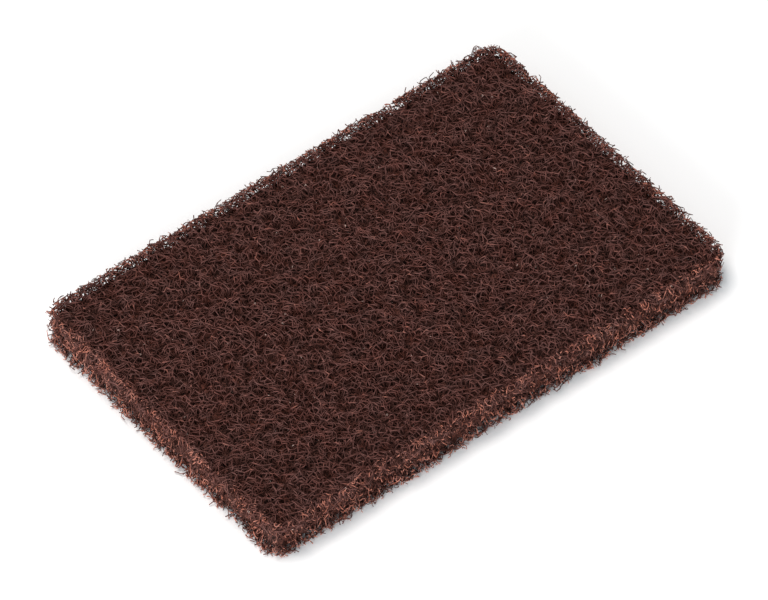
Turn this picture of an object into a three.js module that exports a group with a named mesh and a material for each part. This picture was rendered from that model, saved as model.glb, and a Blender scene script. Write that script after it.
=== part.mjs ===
// An abrasive fleece hand pad: one rectangular piece cut from a thick, open web of curled,
// resin-bonded fibres. It has no layers, core or fittings, so it is one solid.
// The web shows as a net of raised strands around sunken pores, on both faces and all four sides.
// Millimetres, +X along the length, +Y across, +Z up. The origin is the middle of the underside.
import * as THREE from "three";

// Driving dimensions
const LENGTH = 150;
const WIDTH = 95;
const THICKNESS = 12;
const CORNER_RADIUS = 4; // upright corners, rounded by the cutting die
const RIM_RADIUS = 2; // where a face turns down into a cut side
const STRAND_SPACING = 3.2; // between neighbouring points of the net
const STRAND_WANDER = 0.6; // how far a point of the net strays along the surface
const PORE_DEPTH = 3; // the deepest pores
const FACE_RELIEF = 0.7; // how far a strand of the upper face may lie below the outermost ones
const SIDE_RELIEF = 1.2; // the same for the cut sides, which are more ragged
const CLOSED_PATCH = 4; // radius round the middle of a face in which other fibres fill the pores

// Shares, without units
const CLOSED_PORES = 0.08; // pores elsewhere that are filled in the same way
const OUTERMOST_STRANDS = 0.35; // points of the net that reach the full size of the pad
const SHALLOWEST_PORE = 0.55; // of the deepest one
const PORE_ROOM = 0.8; // of the way to where the pores from the next side may reach
const ROW_SPACING = Math.sqrt(3) / 2; // rows of an even net of triangles, for points 1 apart

const WEB_COLOUR = "#5a3630";

// The two faces and the band of cut sides each have a net of their own.
const UPPER_FACE = { seed: 1, height: THICKNESS, relief: FACE_RELIEF };
const LOWER_FACE = { seed: 2, height: 0, relief: 0 }; // level strands, which the pad rests on
const CUT_SIDES = { seed: 3, relief: SIDE_RELIEF };

// Four numbers from 0 to 1 for one point of a net. It keeps them when the pad is resized.
function lotsOf(net, row, column) {
  return [1, 2, 3, 4].map((draw) => {
    const angle = row * 127.1 + column * 311.7 + net.seed * 74.7 + draw * 19.3;
    const mixed = Math.sin(angle) * 43758.5453;
    return mixed - Math.floor(mixed);
  });
}

function strayOf(lot) {
  return (2 * lot - 1) * STRAND_WANDER;
}

// Every third point of a net of triangles is the middle of a pore, and the six round it are strands.
function isPoreMiddle(row, column) {
  return (column - Math.floor(row / 2) - row) % 3 === 0;
}

// Near a rim a pore is no deeper than the rim is far, so that it doesn't meet those round the rim.
function poreDepth(block, lot) {
  const middle = THICKNESS / 2;
  const toSurfaces = [
    LENGTH / 2 - Math.abs(block.x),
    WIDTH / 2 - Math.abs(block.y),
    middle - Math.abs(block.z - middle),
  ];
  const toRim = toSurfaces.sort((a, b) => a - b)[1];
  const wanted = PORE_DEPTH * (SHALLOWEST_PORE + (1 - SHALLOWEST_PORE) * lot);
  return Math.min(wanted, PORE_ROOM * Math.min(toRim, middle));
}

function strandDepth(net, lot) {
  return (net.relief * Math.max(0, lot - OUTERMOST_STRANDS)) / (1 - OUTERMOST_STRANDS);
}

// The nearest value that lies no further than the limit from zero.
function within(value, limit) {
  return Math.min(Math.max(value, -limit), limit);
}

// Takes a point of the plain block to the block with rounded corners and rims, and sinks it.
function onPad(block, depth) {
  const middle = THICKNESS / 2;
  const cornerX = within(block.x, LENGTH / 2 - CORNER_RADIUS);
  const cornerY = within(block.y, WIDTH / 2 - CORNER_RADIUS);
  const aside = new THREE.Vector2(block.x - cornerX, block.y - cornerY);
  const reach = Math.max(Math.abs(aside.x), Math.abs(aside.y));
  aside.normalize();

  const rimReach = Math.min(reach, CORNER_RADIUS - RIM_RADIUS);
  const rimHeight = within(block.z - middle, middle - RIM_RADIUS);
  const over = new THREE.Vector2(reach - rimReach, block.z - middle - rimHeight);
  over.setLength(RIM_RADIUS - depth);
  const sideways = rimReach + over.x;
  return new THREE.Vector3(
    cornerX + aside.x * sideways,
    cornerY + aside.y * sideways,
    middle + rimHeight + over.y,
  );
}

// A point of a face's net, with its place on the plain block and on the pad.
function facePoint(face, row, column, x, y) {
  const [strayX, strayY, closing, sinking] = lotsOf(face, row, column);
  const block = new THREE.Vector3(x + strayOf(strayX), y + strayOf(strayY), face.height);
  const open = closing > CLOSED_PORES && Math.hypot(x, y) > CLOSED_PATCH;
  const isPore = open && isPoreMiddle(row, column);
  const depth = isPore ? poreDepth(block, sinking) : strandDepth(face, sinking);
  return { block, place: onPad(block, depth) };
}

// A point where a face meets the cut sides: always a strand, and as ragged as the sides are.
function rimPoint(face, row, column, x, y) {
  const sinking = lotsOf(face, row, column)[3];
  const block = new THREE.Vector3(x, y, face.height);
  return { block, place: onPad(block, strandDepth(CUT_SIDES, sinking)) };
}

// A point of the sides' net, which strays along the side and up or down it.
function sidePoint(level, step, onSide, along) {
  const [strayAlong, strayUp, closing, sinking] = lotsOf(CUT_SIDES, level, step);
  const block = onSide.clone().addScaledVector(along, strayOf(strayAlong));
  block.z += strayOf(strayUp);
  const isPore = closing > CLOSED_PORES && isPoreMiddle(level, step);
  const depth = isPore ? poreDepth(block, sinking) : strandDepth(CUT_SIDES, sinking);
  return { block, place: onPad(block, depth) };
}

// One face's net, row by row, each point with how far along its row it lies, from 0 to 1.
// Odd rows are shifted by half a spacing and have a rim point at both ends as well.
function faceRows(face) {
  const rows = Math.round(WIDTH / (STRAND_SPACING * ROW_SPACING));
  const columns = Math.round(LENGTH / STRAND_SPACING);
  const made = [];
  for (let row = 0; row <= rows; row += 1) {
    const y = (row / rows - 0.5) * WIDTH;
    const shift = row % 2 ? 0.5 : 0;
    const stations = [];
    for (let place = shift; place <= columns; place += 1) stations.push(place);
    if (shift) stations.unshift(0);
    if (shift) stations.push(columns);
    made.push(
      stations.map((station) => {
        const x = (station / columns - 0.5) * LENGTH;
        const onRim = row % rows === 0 || station % columns === 0;
        const makePoint = onRim ? rimPoint : facePoint;
        return { along: station / columns, point: makePoint(face, row, Math.floor(station), x, y) };
      }),
    );
  }
  return made;
}

// Closes a ring of points with its first one and says how far round it each one lies, from 0 to 1.
// A shift counts in steps from one point to the next.
function closedRing(points, shift) {
  return [...points, points[0]].map((point, index) => {
    return { along: (index + shift) / points.length, point };
  });
}

// A face's outer points, anticlockwise seen from above.
function rimOf(rows) {
  const pointsOf = (row) => row.map((station) => station.point);
  const front = pointsOf(rows[0]);
  const back = pointsOf(rows[rows.length - 1]);
  const between = rows.slice(1, -1);
  const right = between.map((row) => row[row.length - 1].point);
  const left = between.map((row) => row[0].point);
  return [...front, ...right, ...back.reverse(), ...left.reverse()];
}

// The rings of points between the two rims, from the bottom up. Odd ones are shifted by half a step.
function sideRings(rim) {
  const levels = Math.max(2, Math.round(THICKNESS / (STRAND_SPACING * ROW_SPACING)));
  const rings = [];
  for (let level = 1; level < levels; level += 1) {
    const shift = level % 2 ? 0.5 : 0;
    const points = rim.map(({ block }, step) => {
      const next = rim[(step + 1) % rim.length].block;
      const onSide = block.clone().lerp(next, shift);
      onSide.z = (THICKNESS * level) / levels;
      return sidePoint(level, step, onSide, next.clone().sub(block).normalize());
    });
    rings.push(closedRing(points, shift));
  }
  return rings;
}

// Fills the strip between two rows with triangles, wound from the first row to the second.
function stitch(first, second, triangles) {
  let a = 0;
  let b = 0;
  while (a < first.length - 1 || b < second.length - 1) {
    const nextA = a < first.length - 1 ? first[a + 1].along : Infinity;
    const nextB = b < second.length - 1 ? second[b + 1].along : Infinity;
    if (nextA <= nextB) {
      triangles.push(first[a].point, first[a + 1].point, second[b].point);
      a += 1;
    } else {
      triangles.push(first[a].point, second[b + 1].point, second[b].point);
      b += 1;
    }
  }
}

// Joins the two faces and the sides into one closed surface.
function webGeometry() {
  const upper = faceRows(UPPER_FACE);
  const lower = faceRows(LOWER_FACE);
  const triangles = [];
  for (let row = 1; row < upper.length; row += 1) {
    stitch(upper[row - 1], upper[row], triangles);
    stitch(lower[row], lower[row - 1], triangles);
  }
  const lowerRim = rimOf(lower);
  const rings = [closedRing(lowerRim, 0), ...sideRings(lowerRim), closedRing(rimOf(upper), 0)];
  for (let ring = 1; ring < rings.length; ring += 1) {
    stitch(rings[ring - 1], rings[ring], triangles);
  }
  const points = [...new Set(triangles)];
  const numberOf = new Map(points.map((point, index) => [point, index]));
  return new THREE.BufferGeometry()
    .setFromPoints(points.map((point) => point.place))
    .setIndex(triangles.map((point) => numberOf.get(point)));
}

function fleecePad() {
  const material = new THREE.MeshStandardMaterial({
    color: WEB_COLOUR,
    roughness: 0.95,
    metalness: 0,
  });
  const mesh = new THREE.Mesh(webGeometry(), material);
  mesh.name = "fleece_pad";
  return mesh;
}

const pad = new THREE.Group();
pad.add(fleecePad());

export default pad;
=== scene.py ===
# An abrasive fleece hand pad: a thick, open web of curled, resin-bonded fibres, cut to a rectangle.
# The outer few millimetres of the web are built fibre by fibre, each one a thin closed tube on a
# curly path, with a net of bonded strands among those of the upper face. Behind them lies the
# deeper web, too dense to see into, as one rough body whose dark colour is painted shade.
# Metres, +X along the length, +Y across, +Z up. The origin is the middle of the underside.
import math

import bpy
import numpy as np
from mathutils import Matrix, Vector, noise

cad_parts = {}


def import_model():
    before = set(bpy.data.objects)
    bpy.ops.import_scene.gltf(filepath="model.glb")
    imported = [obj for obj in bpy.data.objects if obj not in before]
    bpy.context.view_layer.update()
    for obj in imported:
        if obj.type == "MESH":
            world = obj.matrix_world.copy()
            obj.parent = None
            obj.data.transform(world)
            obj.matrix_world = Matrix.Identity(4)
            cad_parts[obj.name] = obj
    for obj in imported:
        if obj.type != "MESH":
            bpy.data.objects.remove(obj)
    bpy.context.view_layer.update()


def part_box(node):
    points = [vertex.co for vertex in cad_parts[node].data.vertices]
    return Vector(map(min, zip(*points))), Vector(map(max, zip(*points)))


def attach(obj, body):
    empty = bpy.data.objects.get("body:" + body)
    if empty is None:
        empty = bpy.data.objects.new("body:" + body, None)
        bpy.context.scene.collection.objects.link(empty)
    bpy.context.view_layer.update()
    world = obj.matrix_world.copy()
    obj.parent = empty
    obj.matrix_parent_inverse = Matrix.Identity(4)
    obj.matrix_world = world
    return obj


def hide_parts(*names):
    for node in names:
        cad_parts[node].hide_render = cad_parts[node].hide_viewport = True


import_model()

MM = 0.001

# The pad
LOW, HIGH = (np.array(corner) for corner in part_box("fleece_pad"))
FRINGE = np.array([0.3, 0.9]) * MM  # how far the loose fringe moves the outline out, along and across
HALF_LENGTH, HALF_WIDTH = (HIGH - LOW)[:2] / 2 + FRINGE
THICKNESS = (HIGH - LOW)[2]
CORNER_RADIUS = 5.5 * MM  # of the upright corners
UPPER_RIM = 0.9 * MM  # radius of the rims, where the faces turn into the cut sides
LOWER_RIM = 0.4 * MM

# The fibres
FACE_RADIUS = 0.15 * MM  # of a fibre
SIDE_RADIUS = 0.12 * MM
FACE_BEADS = 0.18  # how much the radius usually changes from point to point, as a share of it
SIDE_BEADS = 0.3
BEAD_LIMITS = (-1.5, 2.5)  # the most that it shrinks and grows, counted in usual changes
TUBE_SIDES = 3
FIBRE_LENGTH = 14 * MM  # of what shows of one in a face, before it dives into the web
CUT_LENGTH = 3.4 * MM  # of what is left of one beside a cut side
FACE_STEP = 1.0 * MM  # between the points of a path
SIDE_STEP = 0.52 * MM
UPPER_TOTAL = 3 * 28.0  # metres of fibre grown for each surface
LOWER_TOTAL = 18.0
SIDE_TOTAL = 2 * 13.0

# The curls of the fibres
FACE_CURL = 0.55 / MM  # usual curvature of a path
SIDE_CURL = 1.6 / MM
CURL_SPREAD = (0.5, 1.4)  # least and most of it in a single fibre, as shares
CURL_WAVES = (3 * MM, 8 * MM)  # shortest and longest stretch over which it changes
FACE_WEAVE = 0.35 * MM  # how far fibres weave up and down, and over which stretches
FACE_WEAVE_WAVES = (2.5 * MM, 6 * MM)
SIDE_WEAVE = 0.8 * MM
SIDE_WEAVE_WAVES = (2.5 * MM, 5 * MM)
PATH_WAVES = 3  # how many waves are added up along a path

# The places of the fibres
UPPER_SHELL = 1.8 * MM  # how deep below each surface fibres are built one by one
LOWER_SHELL = 1.2 * MM
SIDE_SHELL = 2.2 * MM
SIDE_STRAY = 1.0 * MM  # how much deeper the curls of a side's fibres may reach
FACE_MARGIN = FIBRE_LENGTH / 4  # how far outside the outline the middle of a face's fibre may lie
FACE_RELIEF = 0.2 * MM  # how far a face waves up and down
FACE_LIFT = 0.1 * MM  # how far the outermost fibres lie above the level of the upper face
FACE_EASING = 0.4 * MM  # how gently fibres that would stand out of a face turn back into it
PIT_LEVEL = 0.5  # height of the waves of pits above which the web is open
PIT_DEPTH = 1.2 * MM  # how far the fibres dip there, for each 1 that the waves are higher
END_DIVE = 1.3 * MM  # how far they dip at their ends
END_POWER = 4  # how suddenly they do so
REACH = 1.15 * MM  # how far beyond the outline a cut fibre ends, on average
REACH_SPREAD = 0.85 * MM
REACH_MOST = 1.7 * MM
REACH_SWELL = 0.4 * MM  # how far the cut sides wave in and out
HOLD = 0.8 * MM  # how far into the pad a fibre must reach to be held

# Waves across the whole pad: the shortest, the longest and how many are added up
OUTLINE_WAVES = (6 * MM, 22 * MM, 14)
FACE_WAVES = (5 * MM, 14 * MM, 14)
PIT_WAVES = (3 * MM, 6 * MM, 24)

# Tones, which give each point of a fibre its place among FIBRE_COLOURS, from 0 to 1
FACE_TONES = (0.475, 0.585)  # of the darkest and the lightest fibre
SIDE_TONES = (0.485, 1.335)
TONE_BIAS = 1.8  # above 1 there are fewer light fibres than dark ones
TONE_DRIFT = 0.07  # how much the tone changes along a fibre, and over which stretches
TONE_WAVES = (3 * MM, 12 * MM)
TONE_SPECKLE = 0.07  # how much it changes from point to point
SIDE_SPECKLE = 0.3  # how much more it does so in the cut sides
PAINTED_RIM_HIGHLIGHT = 0.08  # painted highlight: how much lighter the fibres of a face are at its rim
RIM_WIDTH = 3.0 * MM
PIT_SHADE = 0.15  # painted shade: how much darker they are where the web is open
DEPTH_SHADE = 0.36  # painted shade: how much darker they are this deep or deeper
SHADE_DEPTH = 1.8 * MM
SIDE_SHADE = 0.7  # the same painted shade for the fibres of the sides
PLY = 3.9 * MM  # thickness of the layers that the web was laid in, which show on the cut sides
PLY_TONE = 0.16

# The bonded net in the upper face: a honeycomb whose crossings stray
NET_EDGE = 1.1 * MM  # from one crossing to the next
NET_COLUMN = math.sqrt(0.75) * NET_EDGE  # between its columns of crossings
NET_ROW = 1.5 * NET_EDGE  # between its zigzag rows
NET_ZIGZAG = 0.25 * NET_EDGE  # how far a row runs to either side of its middle
NET_RUN = 17  # edges in a row before a new fibre follows
NET_TURN = math.radians(23)
NET_STRAY = 0.4 * NET_EDGE
NET_DEPTH = 0.3 * MM
NET_PIT_DEPTH = PIT_DEPTH / 2
NET_TONE = 0.565

# The deeper web
INNER_INSET = 1.6 * MM  # from the cut sides
INNER_TOP_INSET = 2.1 * MM
INNER_BOTTOM_INSET = 1.3 * MM
INNER_CELL = 0.76 * MM
INNER_ROUNDING = 2.0 * MM
INNER_RELIEF = 0.5 * MM
INNER_NET = 1.7 * MM  # between the strands that show on it
INNER_STEEPNESS = 3.2  # of the slopes from its strands to its pores

# Seeds of the random numbers. Pieces of one kind count on from theirs.
SHARED_SEED = 5
UPPER_SEED = 10
LOWER_SEED = 20
SIDE_SEED = 30

# The UV maps: a strip for each stretch of fibre, and a place for each side of the deeper web
STRIP_ROWS = 160  # strips above each other
STRIP_EDGE = 0.1  # border that is left free, as a share of a strip
CAP_SHARE = 0.05  # of a strip, for each end of a fibre
BLOCK_MAP = {  # by axis and end of it: left, bottom, width and height
    (2, 1): (0.01, 0.01, 0.73, 0.45),
    (2, 0): (0.01, 0.48, 0.73, 0.45),
    (1, 1): (0.01, 0.95, 0.73, 0.04),
    (1, 0): (0.76, 0.01, 0.04, 0.73),
    (0, 1): (0.82, 0.01, 0.15, 0.4),
    (0, 0): (0.82, 0.5, 0.15, 0.4),
}
CELL_CORNERS = np.array([(0, 0), (1, 0), (1, 1), (0, 1)])

# Too small to see
NEGLIGIBLE_LENGTH = 1e-12  # divides vectors that have no length
NEGLIGIBLE_TURN = 1e-9  # gives a side to stretches of a path that run straight up

# Colours, from the darkest tone to the lightest
FIBRE_COLOURS = [(0.043, 0.0135, 0.0094, 1), (0.0735, 0.0248, 0.0186, 1)]
FIBRE_COLOURS += [(0.147, 0.0588, 0.0492, 1), (0.46, 0.168, 0.115, 1)]
# The deeper web's colours are darker than the fibres': painted shade of the web that lies deeper
DEEP_COLOURS = [(0.012, 0.006, 0.005, 1), (0.052, 0.0195, 0.015, 1), (0.13, 0.046, 0.034, 1)]
PALE_COLOUR = (0.42, 0.3, 0.26, 1)  # of a few grains

# The abrasive grain and the dye, in the materials
GRAIN_SCALE = 1 / (0.35 * MM)
FIBRE_GRAIN = 0.16  # how much the grain changes the tone
DEEP_GRAIN = 0.25
GRAIN_BUMPS = 0.1 * MM
PALE_SCALE = 1 / (0.5 * MM)
PALE_SHARE = 0.0009  # of the grains that are pale
PATCH_SCALE = 1 / (4 * MM)  # of stronger and weaker dye
PATCH_RANGE = (0.3, 0.7)
DYE_STRENGTH = (0.9, 1.05)

# The strands in the material of the deeper web
STRAND_SCALE = 1.25 / INNER_NET
STRAND_STRAY = 1.5 * INNER_NET
STRAND_STRAY_SCALE = 0.6 / INNER_NET
STRAND_RANGE = (0.03, 0.2)  # from the middle of a strand to its edge, in cells of the net
# tone on a strand and in the pores between, which are darker as painted shade
STRAND_TONES = (0.9, 0.0)

# The light: for each lamp its place, size, power and colour, and for the sky how much it lights
# the pad and how bright it is where it is seen
KEY_LIGHT = ((-0.4, 0.34, 1.9), 0.9, 23.0, (1.0, 0.931, 0.888))
FILL_LIGHT = ((-1.8, -0.95, 0.5), 1.2, 44.0, (0.95, 0.98, 1.0))
SKY_COLOUR = (0.9, 0.962, 1.0, 1)
SKY_STRENGTHS = (0.56, 1.0)
FLOOR_COLOUR = (0.97, 0.97, 0.97, 1)
FLOOR_SIZE = 6

# The camera, fitted to the outline of the pad in the photograph
CAMERA_AZIMUTH = math.radians(-38.87)
CAMERA_ELEVATION = math.radians(49.0)
CAMERA_DISTANCE = 2339.5 * MM
CAMERA_AIM = Vector((1.6, 3.32, 0.0)) * MM
CAMERA_RANGE = (0.05, 20)  # nearest and furthest that it sees
SENSOR_WIDTH = 36.0
FOCAL_LENGTH = 421.9


# How far points lie outside the pad's outline, a rectangle with round corners. Inside it is negative.
def beyond_outline(x, y):
    over_x = np.abs(x) - (HALF_LENGTH - CORNER_RADIUS)
    over_y = np.abs(y) - (HALF_WIDTH - CORNER_RADIUS)
    outside = np.hypot(np.maximum(over_x, 0), np.maximum(over_y, 0))
    inside = np.minimum(np.maximum(over_x, over_y), 0)
    return outside + inside - CORNER_RADIUS


# How far a round rim lies from the level of its face, at points that far outside the outline.
def rim_drop(beyond, rim):
    into_rim = np.clip(beyond + rim, 0, rim)
    return rim - np.sqrt(rim**2 - into_rim**2)


# A field of slow random waves across the pad, about 1 high.
def swell(rng, shortest, longest, waves):
    length = rng.uniform(shortest, longest, waves)
    turn = rng.uniform(0, 2 * math.pi, waves)
    phase = rng.uniform(0, 2 * math.pi, waves)

    def height(x, y):
        along = x[..., None] * np.cos(turn) + y[..., None] * np.sin(turn)
        return np.sin(2 * math.pi * along / length + phase).sum(-1) / math.sqrt(waves / 2)

    return height


# One smooth random curve for each fibre, about 1 high: a sum of waves of random length and phase.
def random_waves(rng, fibres, along, shortest, longest):
    total = np.zeros((fibres, len(along)))
    for _ in range(PATH_WAVES):
        length = rng.uniform(shortest, longest, (fibres, 1))
        phase = rng.uniform(0, 2 * math.pi, (fibres, 1))
        total += np.sin(2 * math.pi * along / length + phase)
    return total / math.sqrt(PATH_WAVES / 2)


# Curly paths around middle points: the heading turns with a random curvature while the height
# waves up and down.
def grow(rng, middle, length, step, curl, wave_height, height_waves):
    fibres = len(middle)
    along = np.arange(0, length, step)
    own_curl = curl * rng.uniform(*CURL_SPREAD, (fibres, 1))
    curvature = own_curl * random_waves(rng, fibres, along, *CURL_WAVES)
    heading = rng.uniform(0, 2 * math.pi, (fibres, 1)) + np.cumsum(curvature, axis=1) * step
    paths = np.empty((fibres, len(along), 3))
    paths[..., 0] = np.cumsum(np.cos(heading), axis=1) * step
    paths[..., 1] = np.cumsum(np.sin(heading), axis=1) * step
    paths[..., 2] = wave_height * random_waves(rng, fibres, along, *height_waves)
    paths[..., :2] -= paths[:, len(along) // 2, None, :2]
    return paths + middle[:, None]


# The points of the paths that are kept, and the number of the unbroken stretch that each is in.
# A point with no kept neighbour is dropped.
def stretches(keep):
    before = np.pad(keep, ((0, 0), (1, 0)))[:, :-1]
    after = np.pad(keep, ((0, 0), (0, 1)))[:, 1:]
    keep = keep & (before | after)
    number = np.cumsum((keep & ~before).ravel())[keep.ravel()] - 1
    return np.flatnonzero(keep), number


def unit(vectors):
    length = np.linalg.norm(vectors, axis=-1, keepdims=True)
    return vectors / np.maximum(length, NEGLIGIBLE_LENGTH)


# Places in the UV map for points a share of the way along and around their stretches.
def strip_uv(number, along, around):
    columns = math.ceil((number.max() + 1) / STRIP_ROWS)
    inner = 1 - 2 * STRIP_EDGE
    u = (number // STRIP_ROWS + STRIP_EDGE + inner * along) / columns
    v = (number % STRIP_ROWS + STRIP_EDGE + inner * around) / STRIP_ROWS
    return np.stack(np.broadcast_arrays(u, v), axis=-1)


# A mesh from its corners and from arrays of faces, each array with one number of corners.
def new_mesh(name, corners, faces_by_size, uv):
    mesh = bpy.data.meshes.new(name)
    loops = np.concatenate([faces.ravel() for faces in faces_by_size])
    sizes = np.concatenate([np.full(len(faces), faces.shape[1]) for faces in faces_by_size])
    mesh.vertices.add(len(corners))
    mesh.vertices.foreach_set("co", corners.ravel())
    mesh.loops.add(len(loops))
    mesh.loops.foreach_set("vertex_index", loops.astype(np.int32))
    mesh.polygons.add(len(sizes))
    mesh.polygons.foreach_set("loop_start", (np.cumsum(sizes) - sizes).astype(np.int32))
    mesh.polygons.foreach_set("use_smooth", np.ones(len(sizes), dtype=bool))
    mesh.update(calc_edges=True)
    mesh.uv_layers.new(name="OFBake").uv.foreach_set("vector", uv.astype(np.float32).ravel())
    return mesh


# A ring of corners round each point, square to the path there.
def tube_corners(points, joined, radius):
    ahead = (points[1:] - points[:-1]) * joined[:, None]
    forward = unit(np.pad(ahead, ((0, 1), (0, 0))) + np.pad(ahead, ((1, 0), (0, 0))))
    sideways = unit(np.cross([0.0, 0.0, 1.0], forward) + [NEGLIGIBLE_TURN, 0, 0])
    upward = np.cross(forward, sideways)
    turn = (2 * math.pi * np.arange(TUBE_SIDES) / TUBE_SIDES + math.pi / 2)[:, None]
    ring = sideways[:, None] * np.cos(turn) + upward[:, None] * np.sin(turn)
    return (points[:, None] + ring * radius[:, None, None]).reshape(-1, 3)


# The walls between rings that are joined, and the caps of the first and last ring of a stretch.
def tube_faces(joined, begins, ends):
    side = np.arange(TUBE_SIDES)
    after = (side + 1) % TUBE_SIDES
    here = np.flatnonzero(joined)[:, None] * TUBE_SIDES
    there = here + TUBE_SIDES
    walls = np.stack([here + side, here + after, there + after, there + side], axis=-1)
    start_caps = begins[:, None] * TUBE_SIDES + side[::-1]
    end_caps = ends[:, None] * TUBE_SIDES + side
    return [walls.reshape(-1, 4), start_caps, end_caps]


# Places in the UV map for the corners of those faces.
def tube_uv(number, joined, begins, ends):
    side = np.arange(TUBE_SIDES)
    along = (np.arange(len(number)) - begins[number]) / (ends - begins)[number]
    first = np.flatnonzero(joined)[:, None]
    here, there = along[first], along[first + 1]
    low, high = side / TUBE_SIDES, (side + 1) / TUBE_SIDES
    corners = [(here, low), (here, high), (there, high), (there, low)]
    walls = np.stack([strip_uv(number[first], *corner) for corner in corners], axis=2)
    stretch = np.arange(len(begins))[:, None]
    cap_along = CAP_SHARE * (side % 2)
    cap_around = side / (TUBE_SIDES - 1)
    start_caps = strip_uv(stretch, cap_along, cap_around)
    end_caps = strip_uv(stretch, 1 - cap_along, cap_around)
    return np.concatenate([part.reshape(-1, 2) for part in (walls, start_caps, end_caps)])


# A mesh of closed tubes, one along each stretch, which carries a tone for its colour.
def tubes(name, points, number, radius, tone):
    joined = number[1:] == number[:-1]
    begins = np.flatnonzero(np.r_[True, ~joined])
    ends = np.flatnonzero(np.r_[~joined, True])
    corners = tube_corners(points, joined, radius)
    faces = tube_faces(joined, begins, ends)
    mesh = new_mesh(name, corners, faces, tube_uv(number, joined, begins, ends))
    carried = mesh.attributes.new("tone", "FLOAT", "POINT")
    carried.data.foreach_set("value", np.repeat(tone, TUBE_SIDES).astype(np.float32))
    return mesh


def add_piece(name, mesh, material):
    mesh.materials.append(material)
    piece = bpy.data.objects.new(name, mesh)
    bpy.context.scene.collection.objects.link(piece)
    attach(piece, "root")
    return piece


# Fields that are the same for all pieces
shared = np.random.default_rng(SHARED_SEED)
OUTLINE_SWELL = swell(shared, *OUTLINE_WAVES)
FACE_SWELL = swell(shared, *FACE_WAVES)
PIT_SWELL = swell(shared, *PIT_WAVES)


# How open the web is there. Where it is closed this is 0.
def open_pits(x, y):
    return np.maximum(PIT_SWELL(x, y) - PIT_LEVEL, 0)


# Which points are left of fibres that were cut at the outline, where that waves by so much.
def within_cut(rng, beyond, waved=0.0):
    reach = rng.normal(REACH, REACH_SPREAD, (len(beyond), 1)) + waved
    return beyond < np.minimum(reach, REACH_MOST)


# Each fibre has a tone of its own, which changes slowly along it and a little at each point.
def tones(rng, paths, step, darkest, lightest):
    along = np.arange(paths.shape[1]) * step
    own = darkest + (lightest - darkest) * rng.uniform(0, 1, (len(paths), 1)) ** TONE_BIAS
    own = own + TONE_DRIFT * random_waves(rng, len(paths), along, *TONE_WAVES)
    return own + TONE_SPECKLE * rng.standard_normal(paths.shape[:2])


# How much lighter a fibre of a face is for its place, as painted light and shade: a painted
# highlight at the rim, and painted shade where the web is open and deeper down. Below 0 it is darker.
def face_shade(beyond, pits, depth):
    light = PAINTED_RIM_HIGHLIGHT * np.clip(1 + beyond / RIM_WIDTH, 0, 1)
    return light - PIT_SHADE * pits - DEPTH_SHADE * np.clip(depth / SHADE_DEPTH, 0, 1)


# Makes a piece of the kept points of the paths, apart from stretches that nothing holds: those
# that don't reach far enough into the pad.
def cut_piece(name, rng, paths, beyond, keep, tone, radius, beads, material):
    chosen, number = stretches(keep)
    deepest = np.full(number.max() + 1, np.inf)
    np.minimum.at(deepest, number, beyond.ravel()[chosen])
    held = (deepest < -HOLD)[number]
    chosen = chosen[held]
    number = np.unique(number[held], return_inverse=True)[1]
    radii = radius * (1 + beads * rng.standard_normal(len(chosen)).clip(*BEAD_LIMITS))
    mesh = tubes(name, paths.reshape(-1, 3)[chosen], number, radii, tone.ravel()[chosen])
    add_piece(name, mesh, material)


# Evenly strewn random places in the rectangle that reaches that far from the middle.
def strewn(rng, count, half):
    columns = round(math.sqrt(count * half[0] / half[1]))
    rows = round(count / columns)
    cells = np.stack(np.meshgrid(np.arange(columns), np.arange(rows)), axis=-1).reshape(-1, 2)
    return (2 * (cells + rng.uniform(0, 1, cells.shape)) / (columns, rows) - 1) * half


# The fibres of one face, which weave up and down through its outermost layers.
def face_fibres(name, seed, total, shell, upward, material):
    rng = np.random.default_rng(seed)
    half = np.array([HALF_LENGTH, HALF_WIDTH]) + FACE_MARGIN
    middle = np.pad(strewn(rng, total / FIBRE_LENGTH, half), ((0, 0), (0, 1)))
    paths = grow(rng, middle, FIBRE_LENGTH, FACE_STEP, FACE_CURL, FACE_WEAVE, FACE_WEAVE_WAVES)
    x, y, weave = np.moveaxis(paths, -1, 0)
    beyond = beyond_outline(x, y)
    pits = open_pits(x, y)
    dive = END_DIVE * np.linspace(-1, 1, paths.shape[1]) ** END_POWER
    depth = shell * rng.uniform(0, 1, (len(paths), 1)) + weave
    depth += FACE_RELIEF * FACE_SWELL(x, y) + PIT_DEPTH * pits + dive
    depth = (depth + np.hypot(depth, FACE_EASING)) / 2
    tone = tones(rng, paths, FACE_STEP, *FACE_TONES) + face_shade(beyond, pits, depth)
    if upward:
        paths[..., 2] = THICKNESS + FACE_LIFT - depth - rim_drop(beyond, UPPER_RIM)
    else:
        paths[..., 2] = FACE_RADIUS + depth + rim_drop(beyond, LOWER_RIM)
    keep = within_cut(rng, beyond, REACH_SWELL * OUTLINE_SWELL(x, y))
    cut_piece(name, rng, paths, beyond, keep, tone, FACE_RADIUS, FACE_BEADS, material)


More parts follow.
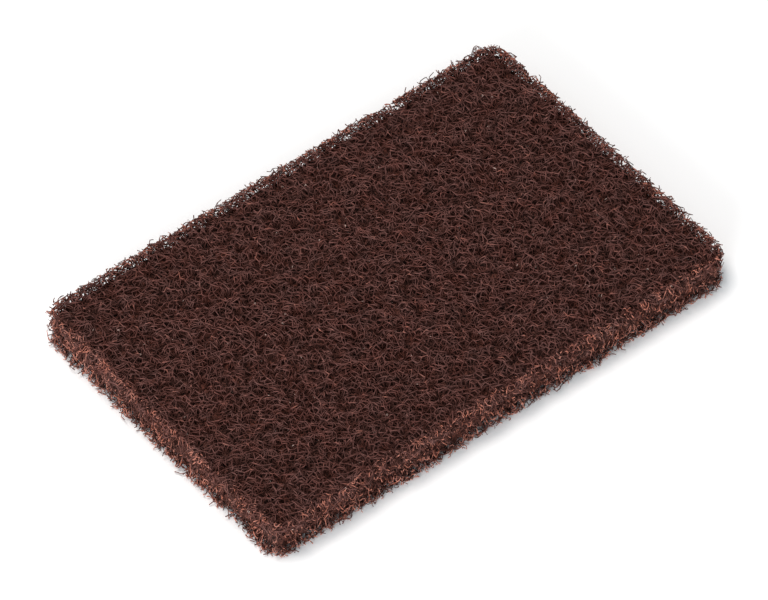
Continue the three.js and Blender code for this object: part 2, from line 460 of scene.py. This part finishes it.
# The strands of the upper face that are bonded into a net, all at about one level: zigzag rows,
# cut into runs, and the links between them.
def bonded_net(name, seed, material):
    rng = np.random.default_rng(seed)
    size = 2 * math.hypot(HALF_LENGTH, HALF_WIDTH)
    rows = round(size / NET_ROW)
    windows = round(size / (NET_RUN * NET_COLUMN))
    row, column = np.meshgrid(np.arange(rows), np.arange(windows * NET_RUN + 1), indexing="ij")
    linked = (row + column) % 2 == 0
    along = NET_COLUMN * column - size / 2
    up = NET_ROW * row + np.where(linked, NET_ZIGZAG, -NET_ZIGZAG) - size / 2
    stray_x, stray_y, stray_down = NET_STRAY * rng.standard_normal((3, *row.shape))
    x = math.cos(NET_TURN) * along - math.sin(NET_TURN) * up + stray_x
    y = math.sin(NET_TURN) * along + math.cos(NET_TURN) * up + stray_y
    beyond = beyond_outline(x, y)
    pits = open_pits(x, y)
    depth = NET_DEPTH + stray_down + FACE_RELIEF * FACE_SWELL(x, y) + NET_PIT_DEPTH * pits
    height = THICKNESS - np.maximum(depth, 0) - rim_drop(beyond, UPPER_RIM)
    tone = NET_TONE + TONE_SPECKLE * rng.standard_normal(row.shape)
    tone += face_shade(beyond, pits, depth)

    first = np.arange(windows)[:, None] * NET_RUN + np.arange(NET_RUN + 1)
    link_row, link_column = np.nonzero(linked[:-1])

    # The values of all runs and then of all links, of which only the first two count.
    def strands(values):
        runs = values[:, first].reshape(-1, NET_RUN + 1)
        links = np.stack([values[link_row, link_column], values[link_row + 1, link_column]], axis=1)
        return np.concatenate([runs, np.pad(links, ((0, 0), (0, NET_RUN - 1)), mode="edge")])

    paths = np.stack([strands(x), strands(y), strands(height)], axis=-1)
    beyond = strands(beyond)
    keep = within_cut(rng, beyond)
    keep[-len(link_row) :, 2:] = False
    cut_piece(name, rng, paths, beyond, keep, strands(tone), FACE_RADIUS, FACE_BEADS, material)


# Random places along the pad's outline, that far inside it.
def along_outline(rng, count, inset):
    half = np.array([HALF_LENGTH, HALF_WIDTH])
    corners = np.array([(-1, -1), (1, -1), (1, 1), (-1, 1)]) * half
    lengths = 2 * np.tile(half, 2)
    ends = np.cumsum(lengths)
    place = rng.uniform(0, ends[-1], count)
    side = np.searchsorted(ends, place)
    share = ((place - (ends - lengths)[side]) / lengths[side])[:, None]
    on_side = corners[side] * (1 - share) + corners[(side + 1) % 4] * share
    most = half - inset[:, None]
    return np.clip(on_side, -most, most)


# The short, tightly curled lengths of fibre that stand in the cut sides.
def side_fibres(name, seed, total, material):
    rng = np.random.default_rng(seed)
    middle = np.empty((int(total / CUT_LENGTH), 3))
    middle[:, :2] = along_outline(rng, len(middle), rng.uniform(0, SIDE_SHELL, len(middle)))
    middle[:, 2] = THICKNESS * (1 - np.cos(math.pi * rng.uniform(0, 1, len(middle)))) / 2
    paths = grow(rng, middle, CUT_LENGTH, SIDE_STEP, SIDE_CURL, SIDE_WEAVE, SIDE_WEAVE_WAVES)
    x, y, height = np.moveaxis(paths, -1, 0)
    beyond = beyond_outline(x, y)
    lowest = SIDE_RADIUS + rim_drop(beyond, LOWER_RIM)
    highest = THICKNESS - SIDE_RADIUS - rim_drop(beyond, UPPER_RIM)
    height = np.clip(height, lowest, highest)
    paths[..., 2] = height
    tone = tones(rng, paths, SIDE_STEP, *SIDE_TONES)
    tone += SIDE_SPECKLE * rng.standard_normal(height.shape)
    # Painted shade: fibres that lie deeper in the cut side are darker.
    tone += SIDE_SHADE * np.clip(beyond / SHADE_DEPTH, -1, 0)
    tone += PLY_TONE * np.cos(2 * math.pi * (THICKNESS - height) / PLY)
    keep = within_cut(rng, beyond, REACH_SWELL * OUTLINE_SWELL(x, y))
    keep &= beyond > -SIDE_SHELL - SIDE_STRAY
    cut_piece(name, rng, paths, beyond, keep, tone, SIDE_RADIUS, SIDE_BEADS, material)


# The six sides of a block as one lattice of square cells: its corners, their faces and a UV map
# in which each side has a place of its own.
def block_lattice(half, cell):
    cells = np.round(2 * half / cell).astype(int)
    sides, uv = [], []
    for (axis, end), (left, bottom, wide, high) in BLOCK_MAP.items():
        across, up = (axis + 1) % 3, (axis + 2) % 3
        i, j = np.meshgrid(np.arange(cells[across]), np.arange(cells[up]), indexing="ij")
        next_i, next_j = (CELL_CORNERS if end else CELL_CORNERS[::-1]).T
        quads = np.full((i.size, 4, 3), cells[axis] * end)
        quads[..., across] = i.reshape(-1, 1) + next_i
        quads[..., up] = j.reshape(-1, 1) + next_j
        sides.append(quads.reshape(-1, 3))
        u = left + wide * quads[..., across] / cells[across]
        v = bottom + high * quads[..., up] / cells[up]
        uv.append(np.stack([u, v], axis=-1).reshape(-1, 2))
    steps, faces = np.unique(np.concatenate(sides), axis=0, return_inverse=True)
    corners = (2 * steps / cells - 1) * half
    return corners, faces.reshape(-1, 4), np.concatenate(uv)


# How near a point lies to a net of strands: 1 on a strand and 0 in the middle of a pore.
def net_height(place):
    nearest, next_nearest = noise.voronoi(Vector(place) / INNER_NET)[0][:2]
    return max(0.0, 1 - INNER_STEEPNESS * (next_nearest - nearest))


# The deeper web: a rounded block inside the fibres, whose surface is a net of strands.
def inner_web(name, material):
    insets = np.array([INNER_INSET, INNER_INSET, INNER_TOP_INSET])
    high = np.array([HALF_LENGTH, HALF_WIDTH, THICKNESS]) - insets
    low = high * [-1, -1, 0] + [0, 0, INNER_BOTTOM_INSET]
    half = (high - low) / 2
    block, faces, uv = block_lattice(half, INNER_CELL)
    within = np.clip(block, -half + INNER_ROUNDING, half - INNER_ROUNDING)
    outward = unit(block - within)
    places = within + outward * INNER_ROUNDING
    heights = np.array([net_height(place) for place in places])
    places += outward * (INNER_RELIEF * (2 * heights - 1))[:, None]
    mesh = new_mesh(name, places + (low + high) / 2, [faces], uv)
    return add_piece(name, mesh, material)


# Adds a node with these properties, whose inputs are values or the outputs of other nodes.
def add_node(tree, kind, inputs, **properties):
    node = tree.nodes.new(kind)
    for key, value in properties.items():
        setattr(node, key, value)
    for key, value in inputs.items():
        if isinstance(value, bpy.types.NodeSocket):
            tree.links.new(value, node.inputs[key])
        else:
            node.inputs[key].default_value = value
    return node


def map_range(tree, value, given, wanted):
    inputs = {"Value": value, "From Min": given[0], "From Max": given[1]}
    inputs |= {"To Min": wanted[0], "To Max": wanted[1]}
    return add_node(tree, "ShaderNodeMapRange", inputs).outputs["Result"]


def new_material(name, roughness, specular):
    material = bpy.data.materials.new(name)
    material.use_nodes = True
    shader = material.node_tree.nodes["Principled BSDF"]
    shader.inputs["Roughness"].default_value = roughness
    shader.inputs["Specular IOR Level"].default_value = specular
    return material, material.node_tree, shader


# Adds what both materials share: a colour ramp over the tone of the surface, patches of stronger
# and weaker dye, a few pale grains and the bumps of the grain.
def resin_coat(tree, shader, place, tone, colours, grain_strength):
    grain_inputs = {"Vector": place, "Scale": GRAIN_SCALE, "Detail": 2.0}
    grain = add_node(tree, "ShaderNodeTexNoise", grain_inputs).outputs["Fac"]
    grained = {0: grain, 1: grain_strength, 2: tone}
    speckle = add_node(tree, "ShaderNodeMath", grained, operation="MULTIPLY_ADD")
    ramp = add_node(tree, "ShaderNodeValToRGB", {"Fac": speckle.outputs["Value"]})
    elements = ramp.color_ramp.elements
    elements[0].color = colours[0]
    elements[1].color = colours[-1]
    for number, colour in enumerate(colours[1:-1], start=1):
        elements.new(number / (len(colours) - 1)).color = colour

    patches = add_node(tree, "ShaderNodeTexNoise", {"Vector": place, "Scale": PATCH_SCALE})
    strength = map_range(tree, patches.outputs["Fac"], PATCH_RANGE, DYE_STRENGTH)
    dye_inputs = {"Saturation": strength, "Color": ramp.outputs["Color"]}
    dye = add_node(tree, "ShaderNodeHueSaturation", dye_inputs)
    grains = add_node(tree, "ShaderNodeTexVoronoi", {"Vector": place, "Scale": PALE_SCALE})
    lot = add_node(tree, "ShaderNodeSeparateColor", {"Color": grains.outputs["Color"]})
    drawn = {0: lot.outputs["Red"], 1: 1 - PALE_SHARE}
    is_pale = add_node(tree, "ShaderNodeMath", drawn, operation="GREATER_THAN")
    coat_inputs = {"Factor": is_pale.outputs["Value"], "A": dye.outputs["Color"], "B": PALE_COLOUR}
    coat = add_node(tree, "ShaderNodeMix", coat_inputs, data_type="RGBA")
    tree.links.new(coat.outputs["Result"], shader.inputs["Base Color"])

    bump = add_node(tree, "ShaderNodeBump", {"Height": grain, "Strength": 0.5, "Distance": GRAIN_BUMPS})
    tree.links.new(bump.outputs["Normal"], shader.inputs["Normal"])


def fibre_material():
    material, tree, shader = new_material("resin_bonded_fibre", 0.75, 0.12)
    place = add_node(tree, "ShaderNodeTexCoord", {}).outputs["Object"]
    tone = add_node(tree, "ShaderNodeAttribute", {}, attribute_name="tone").outputs["Fac"]
    resin_coat(tree, shader, place, tone, FIBRE_COLOURS, FIBRE_GRAIN)
    return material


# The material of the deeper web, darker than the fibres as painted shade, with strands painted on it
# as a net of strayed cells whose pores are darkest, also as painted shade.
def inner_material():
    material, tree, shader = new_material("deep_web", 0.8, 0.05)
    place = add_node(tree, "ShaderNodeTexCoord", {}).outputs["Object"]
    stray = add_node(tree, "ShaderNodeTexNoise", {"Vector": place, "Scale": STRAND_STRAY_SCALE})
    moved = {0: stray.outputs["Color"], 1: (STRAND_STRAY,) * 3, 2: place}
    strayed = add_node(tree, "ShaderNodeVectorMath", moved, operation="MULTIPLY_ADD")
    cell_inputs = {"Vector": strayed.outputs["Vector"], "Scale": STRAND_SCALE}
    cells = add_node(tree, "ShaderNodeTexVoronoi", cell_inputs, feature="DISTANCE_TO_EDGE")
    tone = map_range(tree, cells.outputs["Distance"], STRAND_RANGE, STRAND_TONES)
    resin_coat(tree, shader, place, tone, DEEP_COLOURS, DEEP_GRAIN)
    return material


def floor():
    material, _, shader = new_material("white_floor", 1.0, 0.0)
    shader.inputs["Base Color"].default_value = FLOOR_COLOUR
    bpy.ops.mesh.primitive_plane_add(size=FLOOR_SIZE)
    piece = bpy.context.object
    piece.name = "floor"
    piece.data.materials.append(material)


# The sky lights the pad with one strength and is seen, also in reflections, with another.
def world():
    sky = bpy.data.worlds.new("studio")
    bpy.context.scene.world = sky
    sky.use_nodes = True
    tree = sky.node_tree
    path = add_node(tree, "ShaderNodeLightPath", {})
    seen = path.outputs["Is Camera Ray"]
    for ray in ("Is Glossy Ray", "Is Transmission Ray"):
        either = add_node(tree, "ShaderNodeMath", {0: seen, 1: path.outputs[ray]}, operation="MAXIMUM")
        seen = either.outputs["Value"]
    background = tree.nodes["Background"]
    background.inputs["Color"].default_value = SKY_COLOUR
    tree.links.new(map_range(tree, seen, (0, 1), SKY_STRENGTHS), background.inputs["Strength"])


def area_light(name, place, size, power, colour):
    data = bpy.data.lights.new(name, "AREA")
    data.size = size
    data.energy = power
    data.color = colour
    lamp = bpy.data.objects.new(name, data)
    lamp.location = place
    lamp.rotation_euler = (-Vector(place)).to_track_quat("-Z", "Y").to_euler()
    bpy.context.scene.collection.objects.link(lamp)


def camera():
    data = bpy.data.cameras.new("camera")
    data.sensor_width = SENSOR_WIDTH
    data.lens = FOCAL_LENGTH
    data.clip_start, data.clip_end = CAMERA_RANGE
    viewer = bpy.data.objects.new("camera", data)
    level = math.cos(CAMERA_ELEVATION)
    back = Vector((math.sin(CAMERA_AZIMUTH) * level, -math.cos(CAMERA_AZIMUTH) * level, 0))
    back.z = math.sin(CAMERA_ELEVATION)
    viewer.location = CAMERA_AIM + back * CAMERA_DISTANCE
    viewer.rotation_euler = (-back).to_track_quat("-Z", "Y").to_euler()
    bpy.context.scene.collection.objects.link(viewer)
    bpy.context.scene.camera = viewer


camera()
world()
floor()
area_light("key", *KEY_LIGHT)
area_light("fill", *FILL_LIGHT)

fibre = fibre_material()
core = inner_web("inner_web", inner_material())
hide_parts("fleece_pad")
bonded_net("upper_net", UPPER_SEED, fibre)
for number in (1, 2, 3):
    name = f"upper_fibres_{number}"
    face_fibres(name, UPPER_SEED + number, UPPER_TOTAL / 3, UPPER_SHELL, True, fibre)
face_fibres("lower_fibres", LOWER_SEED, LOWER_TOTAL, LOWER_SHELL, False, fibre)
for number in (1, 2):
    side_fibres(f"side_fibres_{number}", SIDE_SEED + number, SIDE_TOTAL / 2, fibre)

bpy.context.scene.view_settings.view_transform = "Standard"
